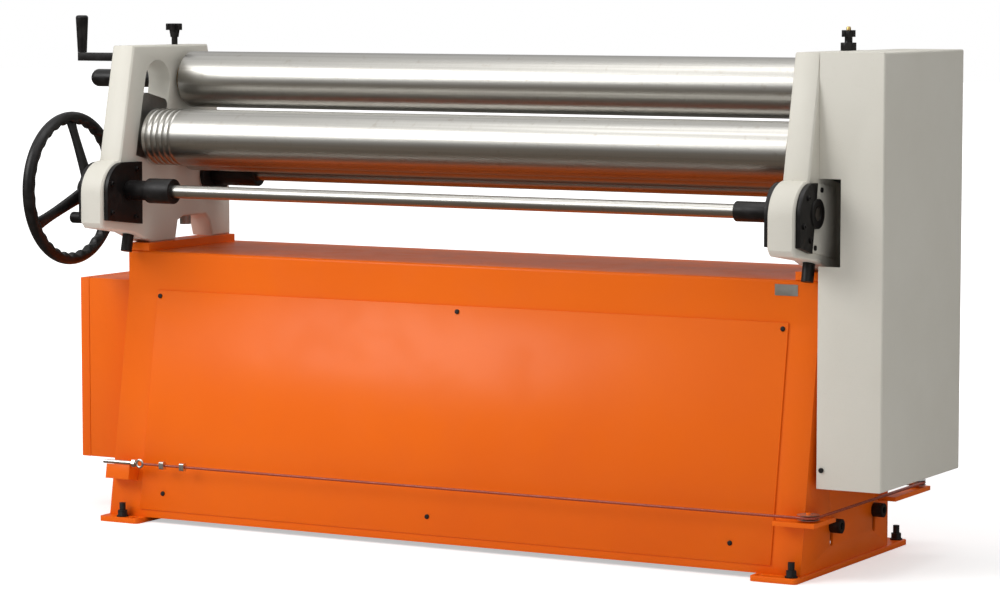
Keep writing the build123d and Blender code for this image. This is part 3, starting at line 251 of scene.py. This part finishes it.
FINISHES = {
    "orange_paint": gloss_paint("orange_paint", rgb(0.90, 0.155, 0.006), rgb(0.82, 0.125, 0.004)),
    "cream_paint": textured_paint("cream_paint", rgb(0.70, 0.675, 0.60), rgb(0.62, 0.59, 0.51)),
    "ground_steel": ground_steel("ground_steel", rgb(0.50, 0.49, 0.46), rgb(0.29, 0.275, 0.25),
                                 rgb(0.24, 0.17, 0.11)),
    "machined_steel": metal("machined_steel", rgb(0.46, 0.46, 0.45), rgb(0.30, 0.29, 0.27)),
    "bronze": metal("bronze", rgb(0.62, 0.40, 0.17), rgb(0.40, 0.25, 0.12)),
    "black_steel": black_oxide("black_steel", rgb(0.007, 0.006, 0.006), 0.42),
    "black_plastic": black_oxide("black_plastic", rgb(0.006, 0.0055, 0.0055), 0.36),
    "zinc_steel": metal("zinc_steel", rgb(0.70, 0.70, 0.67), rgb(0.48, 0.47, 0.44), 0.3),
    "grey_paint": textured_paint("grey_paint", rgb(0.10, 0.12, 0.14), rgb(0.07, 0.08, 0.09)),
    "rope_steel": sleeved_rope("rope_steel"),
}
BRASS = metal("brass_tip", rgb(0.72, 0.50, 0.18), rgb(0.5, 0.34, 0.12), 0.28)

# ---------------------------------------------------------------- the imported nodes' finish

EDGE_TURN = math.radians(32)
WELD_DISTANCE = 0.01 * MM
DOUBLE_DISTANCE = 0.002 * MM

# Width of the rounded edge in mm; a node without a row keeps its sharp edges
BEVELS = {
    "housing_left": 2.5, "housing_right": 2.5, "stand_body": 1.6, "front_panel": 0.8,
    "gear_cover": 0.8, "cabinet_body": 1.2, "cabinet_door": 0.8, "foot_plate_left": 1.0,
    "foot_plate_right": 1.0, "bearing_plates": 1.2, "front_shaft_collars": 1.2,
    "rear_shaft_coupling": 1.2, "guard_plate": 0.5, "crank_arm": 1.5, "rope_brackets": 0.8,
    "star_knob": 1.0, "top_screw_knob": 0.8, "levelling_screws": 0.6, "slot_bolts": 1.0,
    "housing_pads": 0.8, "trip_switch": 1.0, "motor_shelf": 0.8, "gearbox": 1.5,
}


def finish_node(name, node):
    """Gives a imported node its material, rounded edges and smooth shading across curves."""
    node.data.materials.clear()
    node.data.materials.append(FINISHES[slot_of_node[name]])
    node.data.polygons.foreach_set("use_smooth", np.ones(len(node.data.polygons), dtype=bool))
    weld = node.modifiers.new("weld", "WELD")
    weld.merge_threshold = WELD_DISTANCE
    if name in BEVELS:
        bevel = node.modifiers.new("bevel", "BEVEL")
        bevel.limit_method = "ANGLE"
        bevel.angle_limit = EDGE_TURN
        bevel.width = BEVELS[name] * MM
        bevel.segments = 2
        bevel.use_clamp_overlap = True
    split = node.modifiers.new("edges", "EDGE_SPLIT")
    split.split_angle = EDGE_TURN


for node_name, packed in nodes.items():
    finish_node(node_name, packed)

# ---------------------------------------------------------------- surfaces worked out with numpy


def surface(name, points, material, body, around=True, along=False):
    """A closed or open grid of points, (n, m, 3): rows go along the shape, columns go round it.

    Neighbouring rows and columns share quads; a row whose points coincide is a pole.
    """
    rows, columns = points.shape[:2]
    index = np.arange(rows * columns).reshape(rows, columns)
    if around:
        index = np.concatenate([index, index[:, :1]], axis=1)
    if along:
        index = np.concatenate([index, index[:1]], axis=0)
    quads = np.stack([index[:-1, :-1], index[:-1, 1:], index[1:, 1:], index[1:, :-1]], axis=-1)
    mesh = bpy.data.meshes.new(name)
    mesh.from_pydata(points.reshape(-1, 3).tolist(), [], quads.reshape(-1, 4).tolist())
    return settle(name, mesh, material, body)


def settle(name, mesh, material, body):
    """Merges doubles, turns the faces outwards, smooths, and puts the piece on its body."""
    work = bmesh.new()
    work.from_mesh(mesh)
    bmesh.ops.remove_doubles(work, verts=work.verts, dist=DOUBLE_DISTANCE)
    bmesh.ops.dissolve_degenerate(work, edges=work.edges, dist=DOUBLE_DISTANCE)
    bmesh.ops.recalc_face_normals(work, faces=work.faces)
    for face in work.faces:
        face.smooth = True
    work.to_mesh(mesh)
    work.free()
    piece = bpy.data.objects.new(name, mesh)
    bpy.context.scene.collection.objects.link(piece)
    mesh.materials.append(material)
    split = piece.modifiers.new("edges", "EDGE_SPLIT")
    split.split_angle = EDGE_TURN
    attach(piece, body)
    return piece


def lathe(name, profile, middle, axis, material, body, sides=64):
    """A turned piece: (distance along the axis, radius) in mm, carried once round the axis."""
    profile = np.array(profile, dtype=float)
    direction = np.array(Vector(axis).normalized())
    helper = np.array((0.0, 0.0, 1.0)) if abs(direction[2]) < 0.9 else np.array((1.0, 0.0, 0.0))
    first = np.cross(direction, helper)
    first /= np.linalg.norm(first)
    second = np.cross(direction, first)
    turn = np.linspace(0, 2 * math.pi, sides, endpoint=False)
    ring = np.cos(turn)[:, None] * first + np.sin(turn)[:, None] * second
    points = (np.array(middle) + profile[:, 0, None, None] * direction
              + profile[:, 1, None, None] * ring)
    return surface(name, points * MM, material, body)


# ---------------------------------------------------------------- handwheel

# Millimetres. A spoke's place along its length is its share, 0 at the foot and 1 at the rim.
AXLE = (0.0, -213.0, 643.0)
ALONG_X = (1.0, 0.0, 0.0)
RIM_X = -825.0
RIM_RADIUS = 137.0
RIM_RADIAL = 12.0
RIM_AXIAL = 12.5
FINGERS = 30
FINGER_DEPTH = 5.5
STEPS_PER_FINGER = 12
RIM_SIDES = 28
SPOKES = (90, 210, 330)
SPOKE_FOOT = 14.0
SPOKE_END = 129.0
SPOKE_X = -785.0
SPOKE_SLANT = 40.0
SPOKE_STEPS = 24
SPOKE_SIDES = 20
HALF_WIDTH = 13.5
WIDTH_LOST = 4.0
RIM_FLARE = 5.0
FOOT_FLARE = 2.0
HALF_DEPTH = 9.0
DEPTH_LOST = 3.5
HUB_PROFILE = [(-799.5, 0), (-799.5, 17), (-797, 20), (-788, 22), (-782, 24), (-774, 25),
               (-768, 24), (-762, 22), (-760.5, 20), (-760.5, 12.6)]
HUB_CAP_PROFILE = [(-804, 0), (-804, 7), (-802.5, 9.5), (-799, 10), (-799, 0)]


def wheel_rim():
    """Rim: an oval carried round the axle; its inner side swells and dips once per finger."""
    turn = np.linspace(0, 2 * math.pi, FINGERS * STEPS_PER_FINGER, endpoint=False)[:, None]
    section = np.linspace(0, 2 * math.pi, RIM_SIDES, endpoint=False)[None, :]
    inner = np.clip(-np.cos(section), 0, 1) ** 1.5
    wave = 0.5 + 0.5 * np.cos(FINGERS * turn)
    radial = RIM_RADIAL * np.cos(section) + FINGER_DEPTH * inner * wave
    radius = RIM_RADIUS + radial
    x = RIM_X + RIM_AXIAL * np.sin(section) + 0 * turn
    y = AXLE[1] + radius * np.cos(turn)
    z = AXLE[2] + radius * np.sin(turn)
    points = np.stack([x, y, z], axis=-1)
    return surface("handwheel_rim", points * MM, FINISHES["black_plastic"], "handwheel",
                   along=True)


def wheel_spoke(number, degrees):
    """Spoke: an oval bar that slants outwards and tapers from hub to rim."""
    share = np.linspace(0, 1, SPOKE_STEPS)[:, None]
    section = np.linspace(0, 2 * math.pi, SPOKE_SIDES, endpoint=False)[None, :]
    out = SPOKE_FOOT + (SPOKE_END - SPOKE_FOOT) * share
    x = SPOKE_X - SPOKE_SLANT * share
    flare = RIM_FLARE * share ** 6 + FOOT_FLARE * (1 - share) ** 4
    width = HALF_WIDTH - WIDTH_LOST * share + flare
    depth = HALF_DEPTH - DEPTH_LOST * share
    angle = math.radians(degrees)
    radial = np.array((0, math.cos(angle), math.sin(angle)))
    across = np.array((0, -math.sin(angle), math.cos(angle)))
    points = (np.array(AXLE)
              + out[..., None] * radial
              + (x + depth * np.sin(section))[..., None] * np.array(ALONG_X)
              + (width * np.cos(section))[..., None] * across)
    poles = [np.repeat(points[end].mean(axis=0)[None, None], SPOKE_SIDES, axis=1)
             for end in (0, -1)]
    points = np.concatenate([poles[0], points, poles[1]], axis=0)
    return surface(f"handwheel_spoke_{number}", points * MM, FINISHES["black_plastic"],
                   "handwheel")


rim = wheel_rim()
hub = lathe("handwheel_hub", HUB_PROFILE, AXLE, ALONG_X, FINISHES["black_plastic"], "handwheel")
spokes = [wheel_spoke(number, degrees) for number, degrees in enumerate(SPOKES)]
hub_cap = lathe("handwheel_cap", HUB_CAP_PROFILE, AXLE, ALONG_X, FINISHES["zinc_steel"],
                "handwheel")
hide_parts("handwheel")

# ---------------------------------------------------------------- screw heads and small turned parts

# Millimetres. A profile is (distance along the axis, radius); NOSE_SCREWS holds (y, z).
SCREW_RADIUS = 5.0
SCREW_HEIGHT = 4.0
SOCKET_FLOOR = 0.45
SCREW_PROFILE = [
    (0, 0), (0, SCREW_RADIUS), (SCREW_HEIGHT * 0.8, SCREW_RADIUS),
    (SCREW_HEIGHT, SCREW_RADIUS * 0.86), (SCREW_HEIGHT, SCREW_RADIUS * 0.5),
    (SCREW_HEIGHT * SOCKET_FLOOR, SCREW_RADIUS * 0.45), (SCREW_HEIGHT * SOCKET_FLOOR, 0),
]
NOSE_PLATE_X = {"inside": 689.0, "outside": 757.0}
NOSE_SCREWS = {
    "inside": ((-186, 683), (-268, 658), (-268, 602), (-190, 590)),
    "outside": ((-252, 672), (-270, 624), (-241, 598)),
}


def plate_screws():
    """Cap screws with rounded rims and sunk round sockets, on both nose plates of each housing."""
    for side, hand in ((-1, "left"), (1, "right")):
        for face, way in (("inside", -side), ("outside", side)):
            for number, (y, z) in enumerate(NOSE_SCREWS[face]):
                middle = (side * NOSE_PLATE_X[face], y, z)
                screw = lathe(f"nose_screw_{hand}_{face}_{number}", SCREW_PROFILE, middle,
                              (way, 0, 0), FINISHES["black_steel"], "frame", sides=24)


TIP_PROFILE = [(0, 0), (0, 4.2), (4.5, 4.0), (6.5, 2.8), (6.5, 0)]
TIP_FOOT = (723.0, -5.0, 956.5)

plate_screws()
brass_tip = lathe("top_screw_tip", TIP_PROFILE, TIP_FOOT, (0, 0, 1), BRASS, "top_screw_knob",
                  sides=32)

# ---------------------------------------------------------------- floor, light and world

# Metres. The floor's glow, seen by the camera alone, grows from the object outwards.
FLOOR_HALF = 30.0
FLOOR_GREY = rgb(0.8, 0.8, 0.8)
# Painted reflection: metal alone sees the floor dark brown, which paints shade into the lower halves
# of the rolls
FLOOR_PAINTED_SHADE_IN_METAL = rgb(0.16, 0.13, 0.10)
GLOW_NEAR = 1.0
GLOW_FAR = 2.6
FLOOR_GLOW = 0.5
WHITE_SEEN = 1.0

# Strength of the world's light: for plain surfaces, and as metal sees it at the horizon and high up
SOFT_LIGHT = 0.42
SKY_LOW = 0.10
SKY_HIGH = 0.85
SKY_HIGH_Z = 0.75

# Name, place, aim, width and height, watts, share that shows as a gleam
LIGHTS = (
    ("key", (-2.7, -3.4, 3.0), (-0.1, 0, 0.4), (3.0, 2.2), 118, 0.55),
    ("fill", (3.4, -3.0, 2.0), (0.2, 0, 0.5), (2.0, 2.0), 12, 1.0),
    ("top", (0.2, -0.4, 3.4), (0, 0, 0.6), (3.4, 1.6), 40, 0.6),
)


def stage_white(name):
    """Pale floor: the camera sees it as white but for the object's shadow; metal sees it dark brown, a
    painted reflection that paints shade into the rolls' lower halves.
    """
    finish = Finish(name, Specular_IOR_Level=0.0)
    camera_ray, glossy_ray = 0, 3
    from_camera = finish.node("ShaderNodeLightPath", {}, output=camera_ray)
    metal_painted_shade_mask = finish.node("ShaderNodeLightPath", {}, output=glossy_ray)
    away = finish.node("ShaderNodeVectorMath", {"operation": "LENGTH"}, finish.place)
    glow = finish.node("ShaderNodeMapRange", {}, away, GLOW_NEAR, GLOW_FAR, FLOOR_GLOW, WHITE_SEEN)
    # Painted reflection: glossy rays see the floor dark brown, painting shade into the rolls' lower
    # halves
    colours = finish.mix(metal_painted_shade_mask, FLOOR_GREY, FLOOR_PAINTED_SHADE_IN_METAL)
    finish.shader.inputs["Emission Color"].default_value = rgb(1, 1, 1)
    return finish.feed(Base_Color=colours, Emission_Strength=glow * from_camera)


def set_floor():
    """One wide flat square under the feet."""
    mesh = bpy.data.meshes.new("floor")
    ways = ((-1, -1), (1, -1), (1, 1), (-1, 1))
    corners = [(x * FLOOR_HALF, y * FLOOR_HALF, 0) for x, y in ways]
    mesh.from_pydata(corners, [], [(0, 1, 2, 3)])
    floor = bpy.data.objects.new("floor", mesh)
    bpy.context.scene.collection.objects.link(floor)
    mesh.materials.append(stage_white("floor"))


def area_light(name, place, aim, size, power, gleam):
    """A rectangular lamp turned to its aim; gleam scales what it shows in glossy surfaces."""
    data = bpy.data.lights.new(name, "AREA")
    data.shape = "RECTANGLE"
    data.size, data.size_y = size
    data.energy = power
    data.specular_factor = gleam
    lamp = bpy.data.objects.new(name, data)
    bpy.context.scene.collection.objects.link(lamp)
    lamp.location = place
    lamp.rotation_mode = "QUATERNION"
    lamp.rotation_quaternion = (Vector(aim) - Vector(place)).to_track_quat("-Z", "Y")


def set_world():
    """Soft light all round; the camera sees white, and metal sees a sky that darkens downwards."""
    world = bpy.data.worlds.new("studio")
    bpy.context.scene.world = world
    world.use_nodes = True
    tree = world.node_tree
    background = next(n for n in tree.nodes if n.type == "BACKGROUND")
    background.inputs["Color"].default_value = rgb(1, 1, 1)
    path = tree.nodes.new("ShaderNodeLightPath")
    direction = tree.nodes.new("ShaderNodeTexCoord")
    split = tree.nodes.new("ShaderNodeSeparateXYZ")
    tree.links.new(direction.outputs["Generated"], split.inputs[0])
    sky = tree.nodes.new("ShaderNodeMapRange")
    sky.inputs["From Max"].default_value = SKY_HIGH_Z
    sky.inputs["To Min"].default_value = SKY_LOW
    sky.inputs["To Max"].default_value = SKY_HIGH
    tree.links.new(split.outputs["Z"], sky.inputs["Value"])
    metal_sees = tree.nodes.new("ShaderNodeMapRange")
    metal_sees.inputs["To Min"].default_value = SOFT_LIGHT
    tree.links.new(path.outputs["Is Glossy Ray"], metal_sees.inputs["Value"])
    tree.links.new(sky.outputs[0], metal_sees.inputs["To Max"])
    strength = tree.nodes.new("ShaderNodeMath")
    strength.operation = "MAXIMUM"
    tree.links.new(metal_sees.outputs[0], strength.inputs[0])
    tree.links.new(path.outputs["Is Camera Ray"], strength.inputs[1])
    tree.links.new(strength.outputs[0], background.inputs["Strength"])


set_camera()
set_floor()
set_world()
for light in LIGHTS:
    area_light(*light)
bpy.context.scene.view_settings.view_transform = "Standard"
